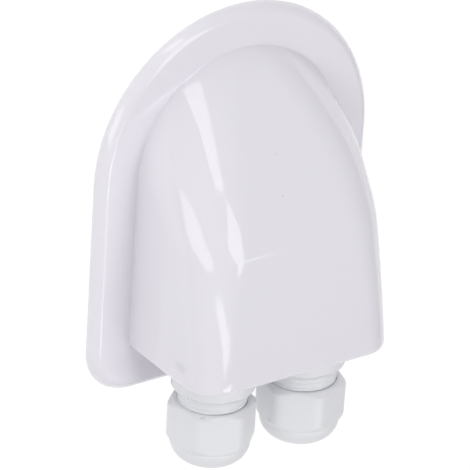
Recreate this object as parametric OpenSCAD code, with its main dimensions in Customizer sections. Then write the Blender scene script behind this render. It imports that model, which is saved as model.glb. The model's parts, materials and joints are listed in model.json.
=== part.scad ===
// Roof cable entry box: an arched flange that is bonded to a roof, a hollow hood moulded in one
// piece with it, and two screw-down cable glands in the hood's foot.
// Millimetres. The back of the flange lies on z = 0, the arch points to +Y and the glands to -Y.

/* [Flange] */
// Width of the flange, which is also the diameter of its arch
flange_w = 94.6; // [90:0.2:110]
// Distance from the arch's centre line to the flange's straight lower edge
flange_foot = 69; // [64:0.5:80]
// Thickness of the flange
flange_t = 3.4; // [3.2:0.1:5]
// Radius of the rounded outer edge of the flange
flange_edge = 3; // [1:0.1:3.1]
// Radius of the flange's two lower corners
flange_corner = 15; // [8:0.5:20]

/* [Hood] */
// Width of the hood, which is also the diameter of its arch
hood_w = 69.4; // [66:0.2:76]
// Distance from the arch's centre line to the hood's gland face
hood_foot = 54; // [50:0.5:62]
// Height of the hood's front at the gland face
hood_h = 41.9; // [40:0.1:50]
// Wall thickness of the hood
wall = 3; // [2:0.1:3.6]
// Lean of the front face towards the roof, going up, in degrees
front_lean = 6.8; // [2:0.1:9]
// Distance from the arch's centre line down to the crease between front and vault
crease_drop = 14; // [8:0.5:20]
// Slope of the vault just above the crease, in degrees
brow_slope = 22; // [15:0.5:28]
// Slope of the vault where it runs out on the flange, in degrees
crown_slope = 46.5; // [40:0.5:52]
// Share of the hood's width that is flat at the gland face
foot_flat = 0.7; // [0.5:0.01:0.8]
// Share of the hood's width that is flat at the top of the arch
crown_flat = 0.2; // [0.1:0.01:0.4]
// How late the shoulders grow on the way up
shoulder_ease = 1.4; // [1:0.05:2]
// Radius of the edge round the gland face
foot_edge = 1.6; // [0.8:0.1:2.5]

/* [Glands] */
// Offset of each gland axis outwards from the middle of its half of the hood
gland_spread = 0.15; // [-0.4:0.05:0.6]
// Distance from the top of the gland face down to the gland axes
gland_drop = 21.1; // [19.5:0.1:24]
// Outer radius of the thread that passes through the hood
spigot_r = 10.2; // [9.6:0.1:10.4]
// Length of that thread, measured from the outside of the hood
spigot_len = 10.5; // [9.5:0.1:13]
// Outer radius of the thread that the dome nut runs on
thread_r = 10.3; // [10:0.05:10.5]
// Length of that thread beyond the collar
thread_len = 10.3; // [9.2:0.1:11.2]
// Width across flats of the collar and the dome nut
gland_af = 24; // [23.8:0.1:26]
// Height of the hexagon collar with its round end ring
collar_h = 9.6; // [8:0.1:10]
// Height of the round end ring of the collar
collar_ring_h = 1.7; // [1:0.1:3]
// How far that ring and the collar's rounded corners stand out beyond its flats
collar_stand = 0.4; // [0.2:0.05:1.2]
// Radius of the cable passage through the gland body
passage_r = 7.6; // [6.5:0.1:8]
// Thickness of the sealing washer under the collar
washer_t = 1.6; // [1:0.1:2.5]
// Turn of the collars about their axes, in degrees
collar_turn = 6; // [0:1:59]

/* [Dome nut] */
// Thread left in view between the collar and the dome nut
thread_shown = 2.1; // [1.9:0.1:4]
// Height of the hexagon of the dome nut
nut_hex_h = 13; // [12:0.1:15]
// Largest radius left on the rounded hexagon corners
nut_corner_r = 13.2; // [12.8:0.05:13.7]
// Radius of the round that forms the dome
dome_round = 6.4; // [5:0.1:6.6]
// Step from the flats of the hexagon in to the dome
dome_step = 0.1; // [0.1:0.05:0.8]
// Radius of the cable hole in the dome
dome_hole_r = 7; // [6.2:0.1:7.4]
// How much further out the right dome nut is screwed than the left one
right_nut_out = 0.8; // [0:0.1:1.2]
// Turn of the left dome nut about its axis, in degrees
left_nut_turn = 22; // [0:1:59]
// Turn of the right dome nut about its axis, in degrees
right_nut_turn = 40; // [0:1:59]

/* [Clamp and seal] */
// Wall thickness of the clamping claw
claw_wall = 1.5; // [1.2:0.05:1.8]
// Number of fingers on the claw
claw_fingers = 8; // [6:1:10]
// Width of the slots between the fingers
claw_slot = 1.6; // [1:0.1:2]
// Length of the taper on the tips of the fingers
claw_taper = 2.7; // [2:0.1:3.5]
// Width of the ring that holds the seal from behind
claw_lip = 1; // [0.6:0.1:1.4]
// Room behind the claw for tightening the nut
claw_room = 3; // [2.7:0.1:4]
// Radius of the unclamped cable hole in the seal
seal_bore_r = 5; // [3:0.1:5.6]

/* [Lock nut] */
// Width across flats of the lock nut inside the hood
lock_af = 27; // [25:0.5:28]
// Thickness of the lock nut
lock_h = 6; // [4:0.1:6.4]
// Turn of the lock nuts about their axes, in degrees
lock_turn = 30; // [0:1:59]

/* [Hidden] */
// Fit between a thread and the hole it passes through
thread_gap = 0.05;
// Running gap between the pieces that turn or slide on each other
run_gap = 0.4;
// Play at the flat faces that follow each other
face_gap = 0.3;
// Height and width of the chamfers on the nuts
nut_chamfer = 1.1;
nut_chamfer_w = 1.7;
// Height over which the hexagon corners of the dome nut run out below the dome
corner_fade = 2.2;
// Chamfer on the edge of the collar's end ring
collar_chamfer = 0.5;
// Wall left between the outer thread and the pocket of the claw
thread_wall = 1;
// Depth of the claw's pocket from the end of the thread
pocket_depth = 10.5;
// Thickness of the claw's ring, and of its wall below the slots
claw_floor = 1.5;
// Depth of the lead-in at the mouth of the dome nut
lead_in = 0.5;
// How far cutters reach past the faces that they cut
over = 1;
// Radius of the edge round the inside of the gland face
cavity_edge = 0.8;
// Steps round a shoulder, round the edge of the gland face, along the front, up to the arch and round it
shoulder_steps = 10;
edge_steps = 3;
front_steps = 7;
brow_steps = 8;
arch_steps = 20;
rim_steps = 5;
// Last angle of the arch, short of a needle point at the top
arch_end = 88;
$fn = 96;

flange_r = flange_w / 2;
hood_r = hood_w / 2;

gland_x = (hood_r - wall) / 2 + gland_spread;
gland_z = hood_h - gland_drop;

// Stations along a gland axis, measured outwards from the gland face
collar_z = washer_t;
collar_end = collar_z + collar_h;
thread_end = collar_end + thread_len;
nut_z = collar_end + thread_shown;
nut_hex_end = nut_z + nut_hex_h;
gland_flat = gland_af / 2;
collar_r = gland_flat + collar_stand;
dome_r = gland_flat - dome_step;
dome_axis = dome_r - dome_round;
nut_end = nut_hex_end + sqrt(pow(dome_round, 2) - pow(dome_hole_r - dome_axis, 2));

// The claw sits in a counterbore of the body and ends under the shoulder of the dome nut
nut_bore_r = thread_r + run_gap;
pocket_r = thread_r - thread_wall;
claw_r = pocket_r - face_gap;
claw_in_r = claw_r - claw_wall;
claw_hole_r = claw_in_r - claw_lip;
pocket_z = thread_end - pocket_depth;
claw_z = pocket_z + claw_room;
shoulder_z = nut_hex_end + dome_round / 2;
claw_end = shoulder_z - face_gap;
cone_z = thread_end + claw_room;
cone_r = claw_r - claw_wall / 2;
tip_r = cone_r - run_gap;
taper_z = claw_end - claw_taper;
seal_r = claw_in_r - thread_gap;
seal_z = claw_z + claw_floor;
seal_end = claw_end - run_gap;

// The arch's centre line is placed so that the origin is under the middle of the whole box
arch_y = (hood_foot + nut_end + right_nut_out - flange_r * sin(arch_end)) / 2;

LEFT = -1;
RIGHT = 1;

// Curves of the hood

function bezier(a, b, c, d, u) =
    pow(1 - u, 3) * a + 3 * pow(1 - u, 2) * u * b + 3 * (1 - u) * u * u * c + pow(u, 3) * d;

// Height of a spine with its front at height h and its arch of radius r, at y from the arch's centre
function spine(y, h, r) =
    let (run = r + crease_drop, third = run / 3,
         crease_h = h - (hood_foot - crease_drop) * tan(front_lean))
    y <= -crease_drop
        ? h - (y + hood_foot) * tan(front_lean)
        : bezier(crease_h, crease_h - third * tan(brow_slope),
                 flange_t + third * tan(crown_slope), flange_t, (y + crease_drop) / run);

function half_width(y, r) = y <= 0 ? r : sqrt(r * r - y * y);

// Flat share of the width, which shrinks on the way from the gland face to the top of the arch
function flat_share(y, r) =
    foot_flat - (foot_flat - crown_flat) * pow((y + hood_foot) / (hood_foot + r), shoulder_ease);

function arc_points(cx, cz, r, from, steps) =
    [for (i = [0 : steps]) let (a = from + (90 - from) * i / steps) [cx + r * cos(a), cz + r * sin(a)]];

// Half a cross section from the flange up the wall and round the shoulder, with x and z for each point
function half_section(w, flat, top) =
    let (reach = w - flat, rise = top - flange_t, r = (reach * reach + rise * rise) / (2 * rise))
    rise > reach
        ? concat([[w, flange_t]], arc_points(flat, top - reach, reach, 0, shoulder_steps - 1))
        : arc_points(flat, top - r, r, asin((r - rise) / r), shoulder_steps);

// The same with its place along the hood, drawn in by the amount inset
function section(y, h, r, inset) =
    let (w = half_width(y, r))
    [for (p = half_section(w - inset, w * flat_share(y, r), spine(y, h, r) - inset)) [p[0], y, p[1]]];

// Cross sections from the gland face, round its edge, up the front and over the arch
function sections(foot, h, r, edge) = concat(
    [for (i = [0 : edge_steps - 1]) let (a = 90 - 90 * i / edge_steps)
        section(-foot + edge * (1 - sin(a)), h, r, edge * (1 - cos(a)))],
    [for (i = [0 : front_steps])
        section(-foot + edge + (foot - edge - crease_drop) * i / front_steps, h, r, 0)],
    [for (i = [1 : brow_steps]) section(-crease_drop * (1 - i / brow_steps), h, r, 0)],
    [for (i = [1 : arch_steps]) section(r * sin(arch_end * i / arch_steps), h, r, 0)]);

// Right half of the flange's outline, drawn in by inset, with a point for each cross section of the hood
function flange_half(inset, z) =
    let (corner = flange_corner - inset, side = flange_foot - flange_corner, steps = edge_steps + front_steps)
    concat(
        [for (i = [0 : steps]) let (a = 90 * (i / steps - 1))
            [flange_r - flange_corner + corner * cos(a), -side + corner * sin(a), z]],
        [for (i = [1 : brow_steps]) [flange_r - inset, -side * (1 - i / brow_steps), z]],
        [for (i = [1 : arch_steps]) let (a = arch_end * i / arch_steps)
            [(flange_r - inset) * cos(a), (flange_r - inset) * sin(a), z]]);

// A closed loop: up the right side, over the arch and down the left side
function loop(half) =
    concat(half, [for (i = [len(half) - 1 : -1 : 0]) [-half[i][0], half[i][1], half[i][2]]]);

// The moulding's whole skin as one stack of loops: out of the cavity, over the back and the rim of
// the flange and up the hood
function skin_loops(inner, outer) = concat(
    [for (j = [shoulder_steps : -1 : 0]) loop([for (row = inner) row[j]])],
    [loop([for (row = inner) [row[0][0], row[0][1], 0]]), loop(flange_half(0, 0))],
    [for (i = [0 : rim_steps]) let (a = 90 * i / rim_steps)
        loop(flange_half(flange_edge * (1 - cos(a)), flange_t - flange_edge * (1 - sin(a))))],
    [for (j = [0 : shoulder_steps]) loop([for (row = outer) row[j]])]);

module moulding() {
    loops = skin_loops(sections(hood_foot - wall, hood_h - wall, hood_r - wall, cavity_edge),
                       sections(hood_foot, hood_h, hood_r, foot_edge));
    n = len(loops[0]);
    last = (len(loops) - 1) * n;
    sides = [for (k = [0 : len(loops) - 2], i = [0 : n - 1])
        let (a = k * n + i, b = k * n + (i + 1) % n)
        each [[a, a + n, b], [b, a + n, b + n]]];
    ceiling = [for (i = [0 : n / 2 - 2]) [i, i + 1, n - 2 - i, n - 1 - i]];
    roof = [for (quad = ceiling) [for (k = [3 : -1 : 0]) last + quad[k]]];
    polyhedron(points = [for (row = loops, p = row) p], faces = concat(ceiling, sides, roof));
}

// Places a piece on the gland axis of one side, with +Z along the axis and 0 on the gland face
module at_gland(side) {
    translate([side * gland_x, arch_y - hood_foot, gland_z]) rotate([90, 0, 0]) children();
}

// The same for the pieces that travel with the dome nut of that side
module at_nut(side) {
    at_gland(side) translate([0, 0, side == RIGHT ? right_nut_out : 0]) children();
}

module hexagon(af, h, turn) {
    rotate([0, 0, turn]) cylinder(r = af / 2 / cos(30), h = h, $fn = 6);
}

module tube(r, bore, h) {
    difference() {
        cylinder(r = r, h = h);
        translate([0, 0, -over]) cylinder(r = bore, h = h + 2 * over);
    }
}

// Pieces

module housing() {
    color("#e7e5eb") difference() {
        translate([0, arch_y, 0]) moulding();
        for (side = [LEFT, RIGHT])
            at_gland(side) translate([0, 0, -wall - over])
                cylinder(r = spigot_r + thread_gap, h = wall + 2 * over);
    }
}

module gland_body(side) {
    color("#e3e5e9") at_gland(side) difference() {
        union() {
            translate([0, 0, -spigot_len]) cylinder(r = spigot_r, h = spigot_len + collar_z + over);
            intersection() {
                translate([0, 0, collar_z]) hexagon(gland_af, collar_h - collar_chamfer, collar_turn);
                cylinder(r = collar_r, h = collar_end);
            }
            rotate_extrude() polygon([
                [0, collar_end - collar_ring_h], [collar_r, collar_end - collar_ring_h],
                [collar_r, collar_end - collar_chamfer], [collar_r - collar_chamfer, collar_end],
                [0, collar_end]]);
            translate([0, 0, collar_end - over]) cylinder(r = thread_r, h = thread_len + over);
        }
        translate([0, 0, -spigot_len - over]) cylinder(r = passage_r, h = spigot_len + pocket_z + 2 * over);
        translate([0, 0, pocket_z]) cylinder(r = pocket_r, h = thread_end - pocket_z + over);
    }
}

module washer(side) {
    color("#2e2f31") at_gland(side) tube(gland_flat, spigot_r + thread_gap, washer_t);
}

module lock_nut(side) {
    corner = lock_af / 2 / cos(30);
    color("#e3e5e9") at_gland(side) translate([0, 0, -wall - lock_h]) difference() {
        intersection() {
            hexagon(lock_af, lock_h, lock_turn);
            rotate_extrude() polygon([
                [0, 0], [corner - nut_chamfer_w, 0], [corner, nut_chamfer],
                [corner, lock_h], [0, lock_h]]);
        }
        translate([0, 0, -over]) cylinder(r = spigot_r + thread_gap, h = lock_h + 2 * over);
    }
}

module claw(side) {
    finger_z = seal_z + claw_floor;
    color("#d9dbdf") at_nut(side) difference() {
        rotate_extrude() polygon([
            [claw_hole_r, claw_z], [claw_r, claw_z], [claw_r, taper_z], [tip_r, claw_end],
            [claw_in_r, claw_end], [claw_in_r, seal_z], [claw_hole_r, seal_z]]);
        for (i = [0 : claw_fingers - 1])
            rotate([0, 0, 360 * i / claw_fingers]) translate([0, -claw_slot / 2, finger_z])
                cube([claw_r + over, claw_slot, claw_end - finger_z + over]);
    }
}

module seal(side) {
    color("#26272a") at_nut(side) translate([0, 0, seal_z]) tube(seal_r, seal_bore_r, seal_end - seal_z);
}

module dome_nut(side, turn) {
    color("#e3e5e9") at_nut(side) difference() {
        union() {
            intersection() {
                translate([0, 0, nut_z]) hexagon(gland_af, nut_hex_h, turn);
                rotate_extrude() polygon([
                    [0, nut_z], [nut_corner_r - nut_chamfer_w, nut_z], [nut_corner_r, nut_z + nut_chamfer],
                    [nut_corner_r, nut_hex_end - corner_fade], [gland_flat, nut_hex_end], [0, nut_hex_end]]);
            }
            rotate_extrude() translate([0, nut_hex_end]) {
                translate([0, -over]) square([dome_r, over]);
                square([dome_axis, dome_round]);
                intersection() {
                    translate([dome_axis, 0]) circle(dome_round);
                    translate([dome_axis, 0]) square(dome_round);
                }
            }
        }
        rotate_extrude() polygon([
            [0, nut_z - over], [nut_bore_r + lead_in, nut_z - over], [nut_bore_r + lead_in, nut_z],
            [nut_bore_r, nut_z + lead_in], [nut_bore_r, cone_z], [cone_r, shoulder_z],
            [dome_hole_r, shoulder_z], [dome_hole_r, nut_end + over], [0, nut_end + over]]);
    }
}

housing();
gland_body(LEFT);  // left_gland_body
washer(LEFT);  // left_washer
lock_nut(LEFT);  // left_lock_nut
claw(LEFT);  // left_claw
seal(LEFT);  // left_seal
dome_nut(LEFT, left_nut_turn);  // left_dome_nut
gland_body(RIGHT);  // right_gland_body
washer(RIGHT);  // right_washer
lock_nut(RIGHT);  // right_lock_nut
claw(RIGHT);  // right_claw
seal(RIGHT);  // right_seal
dome_nut(RIGHT, right_nut_turn);  // right_dome_nut
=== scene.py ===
"""Looks of a roof cable entry box.

A glossy moulding with an arched flange and a hollow hood lies on a pale floor, with two screw-down cable
glands in its foot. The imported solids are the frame: each piece is built in the same place and rides on its
body. Sizes are in millimetres and are brought to metres when a mesh is made.
"""

import json
import logging
from dataclasses import dataclass, replace
from enum import Enum
from itertools import pairwise
from math import acos, asin, atan2, cos, degrees, hypot, pi, radians, sin, sqrt, tan

import bmesh
import bpy
from mathutils import Matrix, Vector

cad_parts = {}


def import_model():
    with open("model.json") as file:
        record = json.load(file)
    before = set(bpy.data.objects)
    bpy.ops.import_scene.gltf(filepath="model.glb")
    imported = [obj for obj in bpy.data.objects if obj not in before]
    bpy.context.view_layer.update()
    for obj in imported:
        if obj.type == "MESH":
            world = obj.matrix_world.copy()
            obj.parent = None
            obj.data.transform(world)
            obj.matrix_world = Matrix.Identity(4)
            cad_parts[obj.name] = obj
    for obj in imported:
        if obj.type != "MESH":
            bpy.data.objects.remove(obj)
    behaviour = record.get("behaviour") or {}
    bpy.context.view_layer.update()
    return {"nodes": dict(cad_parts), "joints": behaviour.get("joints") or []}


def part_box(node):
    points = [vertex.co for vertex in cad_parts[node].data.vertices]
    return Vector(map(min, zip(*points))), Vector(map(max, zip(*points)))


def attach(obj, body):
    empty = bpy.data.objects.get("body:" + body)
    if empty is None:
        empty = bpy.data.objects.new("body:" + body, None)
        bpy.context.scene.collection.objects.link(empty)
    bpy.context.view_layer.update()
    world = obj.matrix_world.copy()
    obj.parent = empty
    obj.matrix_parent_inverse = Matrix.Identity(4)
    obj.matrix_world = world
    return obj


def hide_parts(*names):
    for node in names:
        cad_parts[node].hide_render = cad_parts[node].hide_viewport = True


LOG = logging.getLogger("cable_entry_box")
MM = 0.001
Pair = tuple[float, float]
Colour = tuple[float, float, float]

# Points closer than this are one, in millimetres
SAME_PLACE = 1e-3

# Corners that turn less than about twice this are straight, in radians
SAME_WAY = 1e-3

# Radii of moulded edges, in millimetres
SHARP_EDGE = 0.0
FINE_EDGE = 0.1
SMALL_EDGE = 0.2
SOFT_EDGE = 0.3
BROAD_EDGE = 0.4
ROUND_EDGE = 0.5


class Side(Enum):
    """The two glands, seen with the arch at the top."""

    LEFT = "left"
    RIGHT = "right"


class Mark(Enum):
    """Kinds of small blemish, each with the share of its radius that is at full strength."""

    SMUDGE = 0.1
    SPECK = 0.5


# Small shape helpers


def smooth_min(a: float, b: float, reach: float) -> float:
    """Smaller of two values, with the change from one to the other rounded.

    Args:
        a: First value.
        b: Second value.
        reach: Difference within which the two are blended.

    Returns:
        The blended smaller value.
    """
    share = max(reach - abs(a - b), 0.0) / reach
    return min(a, b) - share * share * reach / 4


def spread(start: float, end: float, steps: int) -> list[float]:
    """Evenly spaced values from start to end, both included.

    Args:
        start: First value.
        end: Last value.
        steps: Number of equal steps.

    Returns:
        One more value than there are steps.
    """
    return [start + (end - start) * i / steps for i in range(steps + 1)]


def crowd(start: float, end: float, steps: int, power: float = 1.8) -> list[float]:
    """Values from start to end, both included, that lie closer together towards the end.

    Args:
        start: First value.
        end: Last value.
        steps: Number of steps.
        power: How strongly they crowd.

    Returns:
        One more value than there are steps.
    """
    return [end + (start - end) * (1 - i / steps) ** power for i in range(steps + 1)]


def round_corners(outline: list[tuple[float, float, float]], steps: int = 4,
                  most: float = 0.49) -> list[Pair]:
    """Closed outline with arcs in place of its corners.

    Args:
        outline: Points as across, along and the radius of the corner there.
        steps: Number of steps round each corner.
        most: Largest share of a side that a corner takes.

    Returns:
        The points of the rounded outline.
    """
    points: list[Pair] = []
    count = len(outline)
    for i, (x, y, radius) in enumerate(outline):
        here = Vector((x, y))
        back = Vector(outline[i - 1][:2]) - here
        ahead = Vector(outline[(i + 1) % count][:2]) - here
        half = back.angle(ahead) / 2
        straight = abs(half - pi / 2) < SAME_WAY
        if radius <= 0 or straight:
            points.append((x, y))
            continue
        cut = min(radius / tan(half), most * back.length, most * ahead.length)
        start = here + back.normalized() * cut
        end = here + ahead.normalized() * cut
        middle = here + (back.normalized() + ahead.normalized()).normalized() * (cut / cos(half))
        reach = (start - middle).length
        for share in spread(0, 1, steps):
            arm = (start - middle).slerp(end - middle, share).normalized() * reach
            points.append(tuple(middle + arm))
    return points


def divide(outline: list[Pair], step: float) -> list[Pair]:
    """Closed outline with its long stretches divided.

    Args:
        outline: Points of the outline.
        step: Longest stretch to leave.

    Returns:
        The points of the divided outline.
    """
    points: list[Pair] = []
    for (x0, y0), (x1, y1) in zip(outline, outline[1:] + outline[:1]):
        parts = max(1, round(hypot(x1 - x0, y1 - y0) / step))
        points += [(x0 + (x1 - x0) * i / parts, y0 + (y1 - y0) * i / parts) for i in range(parts)]
    return points


def loft(bm: bmesh.types.BMesh, rings: list[list[Vector]]) -> list[bmesh.types.BMVert]:
    """Skin a stack of closed rings: each ring is extruded from the one before and moved to its place.

    Args:
        bm: Mesh to build in.
        rings: Rings with the same number of points.

    Returns:
        The vertices of the last ring, in order.
    """
    verts = [bm.verts.new(point) for point in rings[0]]
    edges = [bm.edges.new(pair) for pair in zip(verts, verts[1:] + verts[:1])]
    for ring in rings[1:]:
        made = bmesh.ops.extrude_edge_only(bm, edges=edges)["geom"]
        fresh = {item for item in made if isinstance(item, bmesh.types.BMVert)}
        verts = [next(e.other_vert(v) for e in v.link_edges if e.other_vert(v) in fresh) for v in verts]
        for vert, point in zip(verts, ring):
            vert.co = point
        edges = [bm.edges.get(pair) for pair in zip(verts, verts[1:] + verts[:1])]
    return verts


def revolve(bm: bmesh.types.BMesh, outline: list[Pair], steps: int) -> None:
    """Spin a closed outline of radius and height once round the Z axis.

    Args:
        bm: Mesh to build in.
        outline: Radius and height of each point.
        steps: Number of steps in the turn.
    """
    verts = [bm.verts.new((radius, 0, height)) for radius, height in outline]
    edges = [bm.edges.new(pair) for pair in zip(verts, verts[1:] + verts[:1])]
    bmesh.ops.spin(bm, geom=verts + edges, cent=(0, 0, 0), axis=(0, 0, 1), angle=2 * pi, steps=steps,
                   use_merge=True)
    bmesh.ops.remove_doubles(bm, verts=bm.verts, dist=SAME_PLACE)


def make_hexagonal(bm: bmesh.types.BMesh, flat: float, turn: float, blend: float, top: float) -> None:
    """Draw what lies outside a hexagon about the Z axis in to its flats.

    Args:
        bm: Mesh to change.
        flat: Distance from the axis to a flat.
        turn: Turn of a corner from the X axis, in degrees.
        blend: How softly a flat meets the turned surfaces.
        top: Height where the hexagon ends.
    """
    for vert in bm.verts:
        if vert.co.z > top:
            continue
        radius = hypot(vert.co.x, vert.co.y)
        angle = degrees(atan2(vert.co.y, vert.co.x)) - turn
        side = flat / cos(radians(angle % 60 - 30))
        vert.co.xy *= smooth_min(radius, side, blend) / radius
    bmesh.ops.remove_doubles(bm, verts=bm.verts, dist=SAME_PLACE)


def helix_ridge(bm: bmesh.types.BMesh, outline: list[Pair], lead: float, turns: float,
                steps: int = 64) -> None:
    """Sweep a closed outline of radius and height along a screw line round the Z axis.

    Args:
        bm: Mesh to build in.
        outline: Radius and height of each point at the start.
        lead: Rise in one turn.
        turns: Number of turns.
        steps: Steps in one turn.
    """
    verts = [bm.verts.new((radius, 0, height)) for radius, height in outline]
    face = bm.faces.new(verts)
    geom = verts + list(face.edges) + [face]
    bmesh.ops.spin(bm, geom=geom, cent=(0, 0, 0), axis=(0, 0, 1), dvec=(0, 0, lead / steps),
                   angle=2 * pi * turns, steps=round(turns * steps))
    bmesh.ops.holes_fill(bm, edges=[e for e in bm.edges if e.is_boundary], sides=len(outline))


def out_of_foot(x: float, y: float, z: float) -> Matrix:
    """Place at a point in millimetres, with its Z axis pointing out of the gland face."""
    return Matrix.Translation((x, y, z)) @ Matrix.Rotation(pi / 2, 4, "X")


def add_object(name: str, data: bpy.types.ID) -> bpy.types.Object:
    """Add an object to the scene.

    Args:
        name: Name of the object.
        data: Mesh, lamp or camera that it shows.

    Returns:
        The new object, at the origin.
    """
    obj = bpy.data.objects.new(name, data)
    bpy.context.scene.collection.objects.link(obj)
    return obj


def add_mesh(bm: bmesh.types.BMesh, name: str) -> bpy.types.Object:
    """Add a mesh to the scene as an object.

    Args:
        bm: Mesh, which is freed.
        name: Name of the object.

    Returns:
        The new object, at the origin.
    """
    mesh = bpy.data.meshes.new(name)
    bm.to_mesh(mesh)
    bm.free()
    return add_object(name, mesh)


def to_object(bm: bmesh.types.BMesh, name: str, place: Matrix, sharp: float = 38.0) -> bpy.types.Object:
    """Bring a mesh in millimetres to its place in metres, smooth it and link it as an object.

    Args:
        bm: Mesh, which is freed.
        name: Name of the piece.
        place: Where the mesh goes, in millimetres.
        sharp: Angle between two faces from which their edge stays sharp, in degrees.

    Returns:
        The new object, which sits at the origin.
    """
    bmesh.ops.transform(bm, matrix=Matrix.Scale(MM, 4) @ place, verts=bm.verts)
    bmesh.ops.recalc_face_normals(bm, faces=bm.faces)
    for face in bm.faces:
        face.smooth = True
    for edge in bm.edges:
        edge.smooth = not edge.is_manifold or edge.calc_face_angle() < radians(sharp)
    return add_mesh(bm, name)


def settle(obj: bpy.types.Object, material: bpy.types.Material, body: str, node: str) -> None:
    """Dress a finished piece and put it in its node's stead on a body.

    Args:
        obj: The piece.
        material: Its finish.
        body: Body that it rides on.
        node: Node that it stands for.
    """
    obj.data.materials.append(material)
    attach(obj, body)
    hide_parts(node)
    LOG.info("%s: %d faces, on %s", obj.name, len(obj.data.polygons), body)


# Finishes


@dataclass(frozen=True)
class Blemish:
    """A small round mark on a surface: its kind, place and radius in millimetres, colour and strength."""

    kind: Mark
    centre: tuple[float, float, float]
    radius: float
    colour: Colour
    strength: float


@dataclass(frozen=True)
class Plastic:
    """A moulded finish with a faint cloudiness, a fine grain and a few blemishes."""

    name: str
    colour: Colour
    cloud: Colour
    roughness: float
    roughness_spread: float
    cloud_size: float
    grain_size: float
    grain_height: float
    specular: float = 0.5
    scatter: float = 0.0
    scatter_depth: float = 3.0
    blemishes: tuple[Blemish, ...] = ()

    def material(self) -> bpy.types.Material:
        """Build the finish as a material that reads Object coordinates.

        Returns:
            The new material.
        """
        material = bpy.data.materials.new(self.name)
        material.use_nodes = True
        tree = material.node_tree
        shader = tree.nodes["Principled BSDF"]
        shader.inputs["Specular IOR Level"].default_value = self.specular
        shader.inputs["Subsurface Weight"].default_value = self.scatter
        shader.inputs["Subsurface Radius"].default_value = (1, 1, 1)
        shader.inputs["Subsurface Scale"].default_value = self.scatter_depth * MM
        place = tree.nodes.new("ShaderNodeTexCoord").outputs["Object"]

        cloud = self.noise(tree, place, self.cloud_size, detail=3.0)
        mix = tree.nodes.new("ShaderNodeMix")
        mix.data_type = "RGBA"
        mix.inputs["A"].default_value = (*self.colour, 1)
        mix.inputs["B"].default_value = (*self.cloud, 1)
        tree.links.new(cloud, mix.inputs["Factor"])
        colour = mix.outputs["Result"]
        for blemish in self.blemishes:
            colour = self.blemished(tree, place, colour, blemish)
        tree.links.new(colour, shader.inputs["Base Color"])

        gloss = tree.nodes.new("ShaderNodeMapRange")
        gloss.inputs["To Min"].default_value = self.roughness - self.roughness_spread
        gloss.inputs["To Max"].default_value = self.roughness + self.roughness_spread
        tree.links.new(self.noise(tree, place, self.cloud_size / 3, detail=4.0), gloss.inputs["Value"])
        tree.links.new(gloss.outputs["Result"], shader.inputs["Roughness"])

        bump = tree.nodes.new("ShaderNodeBump")
        bump.inputs["Strength"].default_value = 1.0
        bump.inputs["Distance"].default_value = self.grain_height * MM
        tree.links.new(self.noise(tree, place, self.grain_size, detail=2.0), bump.inputs["Height"])
        tree.links.new(bump.outputs["Normal"], shader.inputs["Normal"])
        return material

    @staticmethod
    def noise(tree: bpy.types.NodeTree, place: bpy.types.NodeSocket, size: float,
              detail: float) -> bpy.types.NodeSocket:
        """Noise with features of a given size.

        Args:
            tree: Tree to add it to.
            place: Coordinates to read.
            size: Size of its features in millimetres.
            detail: Number of finer layers.

        Returns:
            The noise's value.
        """
        node = tree.nodes.new("ShaderNodeTexNoise")
        node.inputs["Scale"].default_value = 1 / (size * MM)
        node.inputs["Detail"].default_value = detail
        tree.links.new(place, node.inputs["Vector"])
        return node.outputs["Fac"]

    @staticmethod
    def blemished(tree: bpy.types.NodeTree, place: bpy.types.NodeSocket, colour: bpy.types.NodeSocket,
                  blemish: Blemish) -> bpy.types.NodeSocket:
        """Lay one blemish over a colour.

        Args:
            tree: Tree to add it to.
            place: Coordinates to read.
            colour: Colour under the blemish.
            blemish: The mark.

        Returns:
            The colour with the mark on it.
        """
        away = tree.nodes.new("ShaderNodeVectorMath")
        away.operation = "DISTANCE"
        away.inputs[1].default_value = [value * MM for value in blemish.centre]
        tree.links.new(place, away.inputs[0])
        fade = tree.nodes.new("ShaderNodeMapRange")
        fade.interpolation_type = "SMOOTHSTEP"
        fade.inputs["From Min"].default_value = blemish.radius * MM * blemish.kind.value
        fade.inputs["From Max"].default_value = blemish.radius * MM
        fade.inputs["To Min"].default_value = blemish.strength
        fade.inputs["To Max"].default_value = 0.0
        tree.links.new(away.outputs["Value"], fade.inputs["Value"])
        mix = tree.nodes.new("ShaderNodeMix")
        mix.data_type = "RGBA"
        mix.inputs["B"].default_value = (*blemish.colour, 1)
        tree.links.new(fade.outputs["Result"], mix.inputs["Factor"])
        tree.links.new(colour, mix.inputs["A"])
        return mix.outputs["Result"]


HOUSING_MARKS = (
    Blemish(Mark.SMUDGE, (-35.2, -27.6, 29.0), radius=2.4, colour=(0.5, 0.48, 0.53), strength=0.2),
    Blemish(Mark.SMUDGE, (-34.2, -27.6, 31.0), radius=2.4, colour=(0.5, 0.48, 0.53), strength=0.2),
    Blemish(Mark.SPECK, (-2.8, 19.9, 30.6), radius=0.45, colour=(0.5, 0.48, 0.5), strength=0.3),
    Blemish(Mark.SPECK, (-1.6, 30.2, 24.3), radius=0.4, colour=(0.5, 0.48, 0.5), strength=0.28),
)
LEFT_NUT_MARKS = (
    Blemish(Mark.SPECK, (-25.2, -47.6, 28.8), radius=0.5, colour=(0.4, 0.4, 0.42), strength=0.3),
    Blemish(Mark.SPECK, (-24.5, -47.6, 29.0), radius=0.5, colour=(0.4, 0.4, 0.42), strength=0.3),
)
RIGHT_NUT_MARKS = (
    Blemish(Mark.SPECK, (3.4, -58.8, 23.1), radius=0.7, colour=(0.45, 0.38, 0.32), strength=0.35),
)
GLOSSY_WHITE = Plastic("glossy_white_moulding", colour=(0.85, 0.828, 0.885), cloud=(0.86, 0.842, 0.9),
                       roughness=0.035, roughness_spread=0.01, cloud_size=28, grain_size=6,
                       grain_height=0.004, scatter=0.5, blemishes=HOUSING_MARKS)
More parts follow.
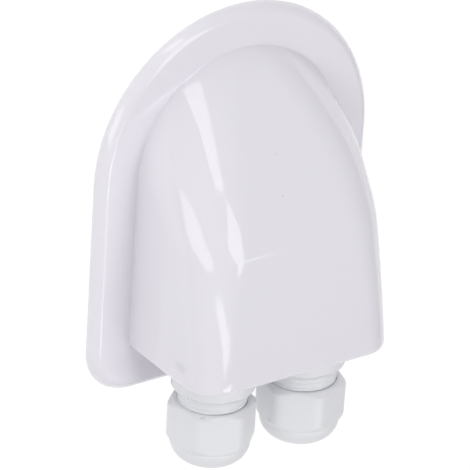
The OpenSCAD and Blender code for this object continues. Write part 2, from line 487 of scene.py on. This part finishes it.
SATIN_WHITE = Plastic("satin_white_nylon", colour=(0.85, 0.857, 0.885), cloud=(0.87, 0.877, 0.9),
                      roughness=0.42, roughness_spread=0.06, cloud_size=9, grain_size=0.5, grain_height=0.006)
CLAW_GREY = Plastic("pale_grey_claw", colour=(0.62, 0.63, 0.65), cloud=(0.66, 0.67, 0.69),
                    roughness=0.45, roughness_spread=0.06, cloud_size=6, grain_size=0.5, grain_height=0.006)
BLACK_RUBBER = Plastic("black_rubber", colour=(0.025, 0.025, 0.027), cloud=(0.04, 0.04, 0.043),
                       roughness=0.6, roughness_spread=0.08, cloud_size=4, grain_size=0.35,
                       grain_height=0.02, specular=0.35)


# Pieces


@dataclass
class Housing:
    """The moulding: an arched flange and a hollow hood whose shoulders grow towards the arch."""

    arch_y: float
    gland_x: float
    gland_z: float
    flange_r: float
    flange_foot: float = 69.0
    flange_t: float = 3.4
    flange_edge: float = 3.0
    flange_corner: float = 15.0
    back_edge: float = 0.3
    hood_r: float = 34.7
    hood_foot: float = 54.0
    hood_h: float = 41.9
    wall: float = 3.0
    front_lean: float = 6.8
    crease_drop: float = 14.0
    crease_soft: float = 0.35
    crease_reach: float = 0.5
    shoulder_soft: float = 1.2
    brow_slope: float = 22.0
    crown_slope: float = 46.5
    foot_flat: float = 0.7
    crown_flat: float = 0.2
    shoulder_ease: float = 1.4
    foot_edge: float = 1.6
    cavity_edge: float = 0.8
    crest_start: float = 60.0
    base_fillet: float = 0.4
    base_margin: float = 0.4
    fillet_share: float = 0.25
    rim_low: Pair = (20.0, 1.0)
    rim_high: Pair = (70.0, 2.0)
    bore_r: float = 10.25
    arch_end: float = 89.2
    edge_steps: int = 6
    front_steps: int = 26
    brow_steps: int = 14
    arch_steps: int = 44
    rise_steps: int = 34
    fillet_steps: int = 4
    rim_steps: int = 5
    back_steps: int = 3
    bore_steps: int = 96
    most_sides: int = 8

    def spine(self, y: float, front: float, radius: float, soft: float) -> float:
        """Height of the hood's middle line.

        Args:
            y: Place along the hood, from the arch's centre.
            front: Height at the gland face.
            radius: Radius of the arch.
            soft: Difference in height within which the crease is rounded.

        Returns:
            The height above the roof.
        """
        run = radius + self.crease_drop
        third = run / 3
        line = front - (y + self.hood_foot) * tan(radians(self.front_lean))
        crease = front - (self.hood_foot - self.crease_drop) * tan(radians(self.front_lean))
        heights = (crease, crease - third * tan(radians(self.brow_slope)),
                   self.flange_t + third * tan(radians(self.crown_slope)), self.flange_t)
        u = (y + self.crease_drop) / run
        weights = ((1 - u) ** 3, 3 * u * (1 - u) ** 2, 3 * u * u * (1 - u), u ** 3)
        vault = sum(weight * height for weight, height in zip(weights, heights))
        return smooth_min(line, vault, soft) if abs(u) < self.crease_reach else min(line, vault)

    def flat_share(self, y: float, radius: float) -> float:
        """Share of the hood's width that is flat at a place along it."""
        along = max(0.0, y + self.hood_foot) / (self.hood_foot + radius)
        return self.foot_flat - (self.foot_flat - self.crown_flat) * along ** self.shoulder_ease

    def half_section(self, width: float, flat: float, top: float, fillet: float) -> list[tuple[float, ...]]:
        """Half a cross section, from the flange up the wall and round the shoulder.

        Args:
            width: Half width at the flange.
            flat: Half width of the flat top.
            top: Height of the flat top.
            fillet: Radius at the foot of the wall, or 0.

        Returns:
            For each point its place across, its height, how far the fillet pushes it out and, from 0 to 1,
            how close it is to the crest.
        """
        reach, rise = width - flat, top - self.flange_t
        radius = reach if rise > reach else (reach * reach + rise * rise) / (2 * rise)
        first = 0.0 if rise > reach else asin((radius - rise) / radius)
        straight = max(0.0, rise - reach)
        total = straight + radius * (pi / 2 - first)
        fillet = min(fillet, self.fillet_share * total)
        stations = [fillet * (1 - cos(a)) for a in spread(0, pi / 2, self.fillet_steps)]
        stations += spread(fillet, total, self.rise_steps)[1:]
        points = [(width, self.flange_t, fillet + self.base_margin, 0.0)]
        for s in stations:
            angle = first + max(0.0, s - straight) / radius
            x = width if s < straight else flat + radius * cos(angle)
            z = self.flange_t + s if s < straight else top - radius + radius * sin(angle)
            push = fillet - sqrt(fillet ** 2 - (fillet - s) ** 2) if s < fillet else 0.0
            crest = max(0.0, (degrees(angle) - self.crest_start) / (90 - self.crest_start))
            points.append((x, z, push, crest * crest * (3 - 2 * crest)))
        return points

    def sections(self, foot: float, front: float, radius: float, edge: float,
                 fillet: float) -> list[list[Vector]]:
        """Half sections from the gland face, round its edge, up the front and over the arch.

        Args:
            foot: Distance from the arch's centre to the gland face.
            front: Height at the gland face.
            radius: Radius of the arch.
            edge: Radius of the edge round the gland face.
            fillet: Radius at the foot of the wall, or 0.

        Returns:
            The points of each half section.
        """
        places = [(-foot + edge * (1 - sin(a)), edge * (1 - cos(a)), Vector((cos(a), -sin(a), 0)))
                  for a in spread(pi / 2, 0, self.edge_steps)]
        across, ahead = Vector((1, 0, 0)), Vector((0, 1, 0))
        places += [(y, 0.0, across) for y in crowd(-foot + edge, -self.crease_drop, self.front_steps)[1:]]
        places += [(y, 0.0, across) for y in crowd(0, -self.crease_drop, self.brow_steps)[-2::-1]]
        places += [(radius * sin(a), 0.0, across * cos(a) + ahead * sin(a))
                   for a in spread(0, radians(self.arch_end), self.arch_steps)[1:]]
        rows = []
        for y, inset, out in places:
            width = radius if y <= 0 else sqrt(radius * radius - y * y)
            top = self.spine(y, front, radius, self.shoulder_soft)
            ridge = self.spine(y, front, radius, self.crease_soft) - top
            half = self.half_section(width - inset, width * self.flat_share(y, radius), top - inset, fillet)
            rows.append([Vector((x, y, z + ridge * crest)) + out * push for x, z, push, crest in half])
        return rows

    def flange_half(self, inset: float, z: float) -> list[Vector]:
        """Right half of the flange's outline, with a point for each section of the hood.

        Args:
            inset: How far it is drawn in.
            z: Height of the outline.

        Returns:
            The points from the lower edge to the top of the arch.
        """
        corner, side = self.flange_corner - inset, self.flange_foot - self.flange_corner
        middle = self.flange_r - self.flange_corner
        points = [Vector((middle + corner * cos(a), corner * sin(a) - side, z))
                  for a in spread(-pi / 2, 0, self.edge_steps + self.front_steps)]
        points += [Vector((self.flange_r - inset, y, z)) for y in spread(-side, 0, self.brow_steps)[1:]]
        points += [Vector((cos(a), sin(a), 0)) * (self.flange_r - inset) + Vector((0, 0, z))
                   for a in spread(0, radians(self.arch_end), self.arch_steps)[1:]]
        return points

    def rim(self) -> list[Pair]:
        """Flange's rim: a bulging slope with a small edge below and above it.

        Returns:
            Inset and height of each point, from the side to the top of the flange.
        """
        low, low_r = radians(self.rim_low[0]), self.rim_low[1]
        high, high_r = radians(self.rim_high[0]), self.rim_high[1]
        slope_r = (self.flange_edge - low_r * sin(low) - high_r * (1 - sin(high))) / (sin(high) - sin(low))
        points = [(0.0, self.flange_t - self.flange_edge)]
        for start, end, radius in ((0.0, low, low_r), (low, high, slope_r), (high, pi / 2, high_r)):
            for a, b in pairwise(spread(start, end, self.rim_steps)):
                inset, z = points[-1]
                points.append((inset + radius * (cos(a) - cos(b)), z + radius * (sin(b) - sin(a))))
        return [*points, (points[-1][0] + self.base_margin, self.flange_t)]

    def skin(self) -> list[list[Vector]]:
        """Rings out of the cavity, over the back and the rim of the flange and up the hood.

        Returns:
            The points of each ring.
        """
        inner = self.sections(self.hood_foot - self.wall, self.hood_h - self.wall, self.hood_r - self.wall,
                              self.cavity_edge, 0.0)
        outer = self.sections(self.hood_foot, self.hood_h, self.hood_r, self.foot_edge, self.base_fillet)
        count = len(inner[0])
        halves = [[row[j] for row in inner] for j in range(count - 1, self.fillet_steps, -1)]
        halves.append([Vector((row[1].x, row[1].y, 0)) for row in inner])
        halves += [self.flange_half(self.back_edge * (1 - sin(a)), self.back_edge * (1 - cos(a)))
                   for a in spread(0, pi / 2, self.back_steps)]
        halves += [self.flange_half(inset, z) for inset, z in self.rim()]
        halves += [[row[j] for row in outer] for j in range(count)]
        return [half + [Vector((-p.x, p.y, p.z)) for p in reversed(half)] for half in halves]

    def build(self) -> None:
        """Build the moulding, cut its two bores and dress it."""
        bm = bmesh.new()
        rings = self.skin()
        roof = loft(bm, rings)
        bm.verts.ensure_lookup_table()
        ceiling = [bm.verts[i] for i in range(len(rings[0]))]
        for ring in (ceiling, roof):
            half = len(ring) // 2
            pairs = [*pairwise(ring[:half]), *pairwise(ring[half:])]
            bmesh.ops.bridge_loops(bm, edges=[bm.edges.get(pair) for pair in pairs])
            bmesh.ops.holes_fill(bm, edges=[e for e in bm.edges if e.is_boundary], sides=self.most_sides)
        obj = to_object(bm, "housing_moulding", Matrix.Translation((0, self.arch_y, 0)))
        self.cut_bores(obj)
        settle(obj, GLOSSY_WHITE.material(), "box", "housing")

    def cut_bores(self, obj: bpy.types.Object) -> None:
        """Cut the bores that the glands pass through.

        Args:
            obj: The moulding, whose mesh is replaced.
        """
        bm = bmesh.new()
        for x in (-self.gland_x, self.gland_x):
            bmesh.ops.create_cone(bm, cap_ends=True, segments=self.bore_steps, radius1=self.bore_r,
                                  radius2=self.bore_r, depth=4 * self.wall,
                                  matrix=out_of_foot(x, self.arch_y - self.hood_foot, self.gland_z))
        cutter = to_object(bm, "bore_cutter", Matrix.Identity(4))
        cut = obj.modifiers.new("bores", "BOOLEAN")
        cut.object = cutter
        cut.operation = "DIFFERENCE"
        cut.solver = "EXACT"
        view = bpy.context.evaluated_depsgraph_get()
        mesh = bpy.data.meshes.new_from_object(obj.evaluated_get(view))
        obj.modifiers.clear()
        obj.data = mesh
        bpy.data.objects.remove(cutter)


@dataclass
class Gland:
    """A screw-down cable gland. Heights are measured along its axis, outwards from the gland face."""

    side: Side
    x: float
    face_y: float
    z: float
    nut_turn: float
    nut_out: float
    nut_marks: tuple[Blemish, ...]
    collar_turn: float = 6.0
    lock_turn: float = 30.0
    flat: float = 12.0
    corner_r: float = 13.2
    corner_blend: float = 0.5
    wall: float = 3.0
    washer_t: float = 1.6
    spigot_r: float = 10.2
    spigot_len: float = 10.5
    passage_r: float = 7.6
    collar_h: float = 9.6
    collar_ring_h: float = 1.7
    collar_r: float = 12.4
    collar_bevel: float = 2.0
    collar_relief: float = 1.2
    thread_r: float = 10.3
    thread_depth: float = 0.42
    thread_len: float = 10.3
    thread_back: float = 4.55
    thread_sunk: float = 0.1
    ridge_half: float = 0.72
    crest_half: float = 0.4
    crest_drop: float = 0.18
    crest_steps: int = 6
    lead: float = 1.5
    pocket_r: float = 9.3
    pocket_depth: float = 10.5
    thread_shown: float = 2.1
    nut_hex_h: float = 13.0
    nut_chamfer: float = 1.1
    nut_chamfer_w: float = 1.7
    chamfer_edge: float = 0.25
    corner_fade: float = 1.7
    corner_round: float = 1.6
    seam_low: float = 0.15
    seam_high: float = 0.1
    seam_proud: float = 0.05
    seam_depth: float = 0.12
    seam_edge: float = 0.15
    seam_root: float = 0.05
    dome_round: float = 6.4
    dome_step: float = 0.1
    dome_start: float = 4.0
    dome_steps: int = 18
    dome_hole_r: float = 7.0
    hole_flare: float = 0.4
    hole_sunk: float = 0.05
    nut_bore_r: float = 10.7
    mouth_r: float = 10.35
    mouth_depth: float = 1.0
    mouth_slope: float = 0.3
    lead_in: float = 0.1
    cone_z: float = 24.5
    cone_r: float = 8.25
    lock_flat: float = 13.5
    lock_h: float = 6.0
    lock_lead_in: float = 0.4
    spigot_gap: float = 0.05
    seal_z: float = 15.5
    seal_end: float = 28.8
    seal_r: float = 7.45
    seal_bore_r: float = 5.0
    seal_low_edge: float = 0.6
    seal_high_edge: float = 0.9
    turn_steps: int = 144
    body_step: float = 0.8
    nut_step: float = 0.6
    rubber_step: float = 1.0

    @property
    def place(self) -> Matrix:
        """Where the gland stands, with its axis along Z."""
        return out_of_foot(self.x, self.face_y, self.z)

    @property
    def collar_end(self) -> float:
        """Outer end of the collar."""
        return self.washer_t + self.collar_h

    @property
    def nut_z(self) -> float:
        """Mouth of the dome nut."""
        return self.collar_end + self.thread_shown + self.nut_out

    def name(self, piece: str) -> str:
        """Name of a piece or node on this side."""
        return f"{self.side.value}_{piece}"

    def thread_outline(self, radius: float, start: float) -> list[Pair]:
        """Section of one turn of a rounded thread.

        Args:
            radius: Radius of the crest.
            start: Height of its lower flank.

        Returns:
            Radius and height of each point.
        """
        root = radius - self.thread_depth - self.thread_sunk
        middle = start + self.ridge_half
        crest = [(radius - self.crest_drop * (1 - cos(a)), middle + self.crest_half * sin(a))
                 for a in spread(-pi / 2, pi / 2, self.crest_steps)]
        return [(root, start), *crest, (root, middle + self.ridge_half)]

    def build_body(self) -> None:
        """Build the gland body with its collar and both threads."""
        end = self.collar_end + self.thread_len
        core = self.thread_r - self.thread_depth
        spigot = self.spigot_r - self.thread_depth
        pocket = end - self.pocket_depth
        shoulder = self.collar_end - self.collar_relief
        ring = shoulder - self.collar_ring_h
        outline = round_corners([
            (self.passage_r, -self.spigot_len, SOFT_EDGE),
            (spigot, -self.spigot_len, SOFT_EDGE),
            (spigot, self.washer_t, SHARP_EDGE),
            (self.collar_r, self.washer_t, SOFT_EDGE),
            (self.collar_r, ring, BROAD_EDGE),
            (self.collar_r - self.collar_bevel, shoulder, SMALL_EDGE),
            (core, shoulder, SMALL_EDGE),
            (core, end, SMALL_EDGE),
            (self.pocket_r, end, FINE_EDGE),
            (self.pocket_r, pocket, SMALL_EDGE),
            (self.passage_r, pocket, SMALL_EDGE)])
        bm = bmesh.new()
        start = self.nut_z - self.thread_back
        helix_ridge(bm, self.thread_outline(self.thread_r, start), self.lead, (end - start) / self.lead - 1)
        turns = (self.spigot_len - self.lead) / self.lead
        helix_ridge(bm, self.thread_outline(self.spigot_r, -self.spigot_len), self.lead, turns)
        revolve(bm, divide(outline, self.body_step), self.turn_steps)
        make_hexagonal(bm, self.flat, self.collar_turn, self.corner_blend, ring)
        obj = to_object(bm, self.name("gland_body_threaded"), self.place)
        settle(obj, SATIN_WHITE.material(), "box", self.name("gland_body"))

    def build_dome_nut(self) -> None:
        """Build the dome nut: hexagon with soft corners, seam, dome, cable hole and inner cone."""
        hex_end = self.nut_z + self.nut_hex_h
        dome_r = self.flat - self.dome_step
        axis = dome_r - self.dome_round
        last = acos((self.dome_hole_r + self.hole_flare - axis) / self.dome_round)
        dome = [(axis + self.dome_round * cos(a), hex_end + self.dome_round * sin(a), SHARP_EDGE)
                for a in spread(radians(self.dome_start), last, self.dome_steps)]
        dome_end = dome[-1][1] - self.hole_sunk
        shoulder = hex_end + self.dome_round / 2
        lip_end = self.nut_z + self.mouth_depth
        outline = round_corners([
            (self.mouth_r + self.lead_in, self.nut_z, FINE_EDGE),
            (self.corner_r - self.nut_chamfer_w, self.nut_z, self.chamfer_edge),
            (self.corner_r, self.nut_z + self.nut_chamfer, ROUND_EDGE),
            (self.corner_r, hex_end - self.corner_fade, self.corner_round),
            (self.flat + self.seam_proud, hex_end - self.seam_low, self.seam_edge),
            (dome_r - self.seam_depth, hex_end + self.seam_high, self.seam_root),
            *dome,
            (self.dome_hole_r, dome_end, SOFT_EDGE),
            (self.dome_hole_r, shoulder, FINE_EDGE),
            (self.cone_r, shoulder, SHARP_EDGE),
            (self.nut_bore_r, self.cone_z + self.nut_out, SHARP_EDGE),
            (self.nut_bore_r, lip_end + self.mouth_slope, SHARP_EDGE),
            (self.mouth_r, lip_end, SHARP_EDGE),
            (self.mouth_r, self.nut_z + self.lead_in, FINE_EDGE)])
        bm = bmesh.new()
        revolve(bm, divide(outline, self.nut_step), self.turn_steps)
        make_hexagonal(bm, self.flat, self.nut_turn, self.corner_blend, hex_end)
        obj = to_object(bm, self.name("dome_nut_moulded"), self.place)
        finish = replace(SATIN_WHITE, name=f"{SATIN_WHITE.name}_{self.side.value}", blemishes=self.nut_marks)
        settle(obj, finish.material(), self.name("nut"), self.name("dome_nut"))

    def build_lock_nut(self) -> None:
        """Build the hexagon lock nut inside the hood."""
        corner = self.lock_flat / cos(radians(30))
        bore = self.spigot_r + self.spigot_gap
        low, high = -self.wall - self.lock_h, -self.wall
        outline = round_corners([
            (bore + self.lock_lead_in, low, FINE_EDGE),
            (corner - self.nut_chamfer_w, low, SOFT_EDGE),
            (corner, low + self.nut_chamfer, BROAD_EDGE),
            (corner, high, SMALL_EDGE),
            (bore, high, SHARP_EDGE),
            (bore, low + self.lock_lead_in, SHARP_EDGE)])
        bm = bmesh.new()
        revolve(bm, divide(outline, self.nut_step), self.turn_steps)
        make_hexagonal(bm, self.lock_flat, self.lock_turn, self.corner_blend, high)
        obj = to_object(bm, self.name("lock_nut_moulded"), self.place)
        settle(obj, SATIN_WHITE.material(), "box", self.name("lock_nut"))

    def build_rubber(self) -> None:
        """Build the washer under the collar and the seal that grips the cable."""
        bore = self.spigot_r + self.spigot_gap
        washer = [
            (bore, 0, SMALL_EDGE),
            (self.flat, 0, ROUND_EDGE),
            (self.flat, self.washer_t, ROUND_EDGE),
            (bore, self.washer_t, SMALL_EDGE)]
        low, high = self.seal_z + self.nut_out, self.seal_end + self.nut_out
        seal = [
            (self.seal_bore_r, low, self.seal_low_edge),
            (self.seal_r, low, BROAD_EDGE),
            (self.seal_r, high, ROUND_EDGE),
            (self.seal_bore_r, high, self.seal_high_edge)]
        pieces = (("washer", "washer_ring", washer, "box"), ("seal", "seal_sleeve", seal, self.name("clamp")))
        for node, piece, outline, body in pieces:
            bm = bmesh.new()
            revolve(bm, divide(round_corners(outline), self.rubber_step), self.turn_steps)
            obj = to_object(bm, self.name(piece), self.place)
            settle(obj, BLACK_RUBBER.material(), body, self.name(node))

    def build(self, nodes: dict[str, bpy.types.Object]) -> None:
        """Build every piece of the gland and dress the claw's own node.

        Args:
            nodes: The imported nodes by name.
        """
        self.build_body()
        self.build_dome_nut()
        self.build_lock_nut()
        self.build_rubber()
        claw = nodes[self.name("claw")]
        claw.data.materials.clear()
        claw.data.materials.append(CLAW_GREY.material())
        LOG.info("%s: kept as packed, with a new finish", claw.name)


# Studio


def bare_tree(owner: bpy.types.Material | bpy.types.World) -> bpy.types.NodeTree:
    """Turn on the nodes of a material or world and clear them.

    Args:
        owner: The material or world.

    Returns:
        Its node tree, with nothing in it yet.
    """
    owner.use_nodes = True
    owner.node_tree.nodes.clear()
    return owner.node_tree


def toward(direction: Pair, distance: float) -> Vector:
    """Point in a direction from the box, in metres.

    Args:
        direction: Azimuth from +X to +Y and height, in degrees.
        distance: How far away it is, in millimetres.

    Returns:
        The point.
    """
    azimuth, height = (radians(angle) for angle in direction)
    flat = Vector((cos(azimuth), sin(azimuth), 0)) * cos(height)
    return (flat + Vector((0, 0, sin(height)))) * distance * MM


@dataclass(frozen=True)
class Softbox:
    """A strip lamp stretched between two directions."""

    name: str
    start: Pair
    end: Pair
    width: float
    brightness: float
    distance: float = 1200.0
    watts: float = 4.0

    def build(self) -> None:
        """Add the lamp to the scene, with its watts on each square metre at a brightness of 1."""
        start, end = toward(self.start, self.distance), toward(self.end, self.distance)
        middle = (start + end) / 2
        along = (end - start).normalized()
        away = (middle - along * middle.dot(along)).normalized()
        data = bpy.data.lights.new(self.name, "AREA")
        data.shape = "RECTANGLE"
        data.size = (end - start).length
        data.size_y = self.width * MM
        data.energy = self.watts * data.size * data.size_y * self.brightness
        lamp = add_object(self.name, data)
        turn = Matrix((along, away.cross(along), away)).transposed().to_4x4()
        lamp.matrix_world = Matrix.Translation(middle) @ turn
        lamp.visible_camera = False


@dataclass(frozen=True)
class Panel:
    """A glowing cloth stretched over a frame, with a corner in each of the directions given."""

    name: str
    corners: tuple[Pair, ...]
    brightness: float
    distance: float = 1200.0

    def build(self) -> None:
        """Add the panel to the stage, out of the camera's sight."""
        bm = bmesh.new()
        bm.faces.new([bm.verts.new(toward(corner, self.distance)) for corner in self.corners])
        obj = add_mesh(bm, self.name)
        obj.visible_camera = False
        material = bpy.data.materials.new(self.name)
        tree = bare_tree(material)
        glow = tree.nodes.new("ShaderNodeEmission")
        glow.inputs["Strength"].default_value = self.brightness
        output = tree.nodes.new("ShaderNodeOutputMaterial")
        tree.links.new(glow.outputs[0], output.inputs["Surface"])
        obj.data.materials.append(material)


SOFTBOXES = (
    Softbox("brow_lamp", start=(-20, 68), end=(-3, 60), width=90, brightness=2.6),
    Softbox("rim_lamp", start=(-85, 64), end=(-47, 55), width=230, brightness=3.0),
)
PANELS = (
    Panel("far_panel", ((119, 9), (112, 26), (107, 50), (91, 53), (101, 18)), brightness=3.1),
    Panel("far_high_panel", ((87, 57), (105, 67), (-46, 74), (-33, 64.5), (42, 62)), brightness=3.1),
    Panel("left_panel", ((156, 14), (173, 13), (-175, 42), (-178, 54), (167, 54), (154, 38)),
          brightness=2.7),
    Panel("left_high_panel", ((-163, 58), (-157, 67), (-138, 75), (-77, 77), (-49, 71), (-50, 69.5),
                              (-92, 75.3), (-122, 75.5), (-156, 65)), brightness=3.2),
)


@dataclass(frozen=True)
class TentSide:
    """A bright side of the light tent: the direction that it lies in and how much it adds there."""

    direction: tuple[float, float, float]
    level: float


TENT_SIDES = (
    TentSide((0, -1, 0), 0.46),
    TentSide((-0.85, 0.5, 0), 0.28),
    TentSide((0, 1, 0), 0.18),
    TentSide((0, 0, 1), 0.1),
)


@dataclass
class Studio:
    """Camera, floor, world, lamps and glowing panels."""

    arch_y: float
    azimuth: float = 36.1
    elevation: float = 27.08
    roll: float = 3.71
    distance: float = 1300.0
    aim_across: float = 1.3
    aim_up: float = -24.2
    pixels_per_mm: float = 3.45
    frame_pixels: float = 470.0
    sensor: float = 36.0
    sight: float = 100.0
    floor_size: float = 60.0
    floor_colour: Colour = (0.85, 0.85, 0.86)
    floor_glow: float = 1.06
    glow_share: float = 0.5
    glow_seen: float = 0.4
    tent_base: float = 0.16
    tent_colour: Colour = (1.0, 0.995, 1.0)

    def camera(self) -> None:
        """Stand the camera where the photograph was taken from."""
        az, el, roll = radians(self.azimuth), radians(self.elevation), radians(self.roll)
        back = Vector((-sin(az) * cos(el), sin(el), cos(az) * cos(el)))
        right = Vector((cos(az), 0, sin(az)))
        up = back.cross(right)
        across = right * cos(roll) + up * sin(roll)
        upward = up * cos(roll) - right * sin(roll)
        data = bpy.data.cameras.new("camera")
        data.sensor_width = self.sensor
        data.lens = self.pixels_per_mm * self.distance * self.sensor / self.frame_pixels
        data.clip_end = self.sight
        obj = add_object("camera", data)
        aim = across * self.aim_across + upward * self.aim_up + Vector((0, self.arch_y, 0))
        turn = Matrix((across, upward, back)).transposed().to_4x4()
        obj.matrix_world = Matrix.Translation((aim + back * self.distance) * MM) @ turn
        bpy.context.scene.camera = obj

    def floor(self) -> None:
        """Lay a pale floor that looks white and keeps a faint shadow."""
        bm = bmesh.new()
        bmesh.ops.create_grid(bm, x_segments=1, y_segments=1, size=self.floor_size / 2)
        obj = add_mesh(bm, "floor")
        material = bpy.data.materials.new("pale_floor")
        tree = bare_tree(material)
        output = tree.nodes.new("ShaderNodeOutputMaterial")
        matte = tree.nodes.new("ShaderNodeBsdfDiffuse")
        matte.inputs["Color"].default_value = (*self.floor_colour, 1)
        white = tree.nodes.new("ShaderNodeEmission")
        white.inputs["Strength"].default_value = self.floor_glow
        mix = tree.nodes.new("ShaderNodeMixShader")
        share = tree.nodes.new("ShaderNodeMath")
        share.operation = "MULTIPLY_ADD"
        share.inputs[1].default_value = self.glow_seen
        share.inputs[2].default_value = self.glow_share
        tree.links.new(self.seen(tree), share.inputs[0])
        tree.links.new(share.outputs[0], mix.inputs["Fac"])
        tree.links.new(matte.outputs[0], mix.inputs[1])
        tree.links.new(white.outputs[0], mix.inputs[2])
        tree.links.new(mix.outputs[0], output.inputs["Surface"])
        obj.data.materials.append(material)

    @staticmethod
    def seen(tree: bpy.types.NodeTree) -> bpy.types.NodeSocket:
        """Tell what is seen from what is lit.

        Args:
            tree: Tree of a material.

        Returns:
            1 for what the camera sees straight, mirrored or through glass, and 0 for light.
        """
        path = tree.nodes.new("ShaderNodeLightPath")
        total: bpy.types.NodeSocket = path.outputs["Is Camera Ray"]
        for name in ("Is Glossy Ray", "Is Transmission Ray"):
            node = tree.nodes.new("ShaderNodeMath")
            node.operation = "MAXIMUM"
            tree.links.new(total, node.inputs[0])
            tree.links.new(path.outputs[name], node.inputs[1])
            total = node.outputs[0]
        return total

    def tent_level(self, tree: bpy.types.NodeTree) -> bpy.types.NodeSocket:
        """Brightness of the light tent in each direction.

        Args:
            tree: Tree of the world.

        Returns:
            The base level with what the bright sides add.
        """
        heading = tree.nodes.new("ShaderNodeTexCoord").outputs["Generated"]
        total: bpy.types.NodeSocket | None = None
        for side in TENT_SIDES:
            facing = tree.nodes.new("ShaderNodeVectorMath")
            facing.operation = "DOT_PRODUCT"
            facing.inputs[1].default_value = side.direction
            tree.links.new(heading, facing.inputs[0])
            level = tree.nodes.new("ShaderNodeMapRange")
            level.inputs["To Max"].default_value = side.level
            tree.links.new(facing.outputs["Value"], level.inputs["Value"])
            add = tree.nodes.new("ShaderNodeMath")
            add.inputs[0].default_value = self.tent_base
            tree.links.new(level.outputs["Result"], add.inputs[1])
            if total:
                tree.links.new(total, add.inputs[0])
            total = add.outputs[0]
        return total

    def world(self) -> None:
        """Light the box with a tent that is brighter on some sides."""
        world = bpy.data.worlds.new("studio")
        tree = bare_tree(world)
        output = tree.nodes.new("ShaderNodeOutputWorld")
        tent = tree.nodes.new("ShaderNodeBackground")
        tent.inputs["Color"].default_value = (*self.tent_colour, 1)
        tree.links.new(self.tent_level(tree), tent.inputs["Strength"])
        tree.links.new(tent.outputs[0], output.inputs["Surface"])
        bpy.context.scene.world = world

    def build(self) -> None:
        """Set up the whole studio."""
        bpy.context.scene.view_settings.view_transform = "Standard"
        self.camera()
        self.floor()
        self.world()
        for lamp in (*SOFTBOXES, *PANELS):
            lamp.build()
        LOG.info("studio: camera, floor, %d lamps and %d panels", len(SOFTBOXES), len(PANELS))


def main() -> None:
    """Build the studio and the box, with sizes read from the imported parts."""
    logging.basicConfig(level=logging.INFO, format="%(message)s")
    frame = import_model()
    turns = {j["name"]: j for j in frame["joints"] if j["type"] == "hinge"}
    x, face_y, z = (value / MM for value in turns["right_nut_turn"]["pos_m"])
    housing = Housing(arch_y=face_y + Housing.hood_foot, gland_x=x, gland_z=z,
                      flange_r=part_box("housing")[1].x / MM)
    Studio(housing.arch_y).build()
    housing.build()
    nut_out = (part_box("left_dome_nut")[0].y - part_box("right_dome_nut")[0].y) / MM
    Gland(Side.LEFT, -x, face_y, z, nut_turn=22.0, nut_out=0.0,
          nut_marks=LEFT_NUT_MARKS).build(frame["nodes"])
    Gland(Side.RIGHT, x, face_y, z, nut_turn=40.0, nut_out=nut_out,
          nut_marks=RIGHT_NUT_MARKS).build(frame["nodes"])


if __name__ == "__main__":
    main()
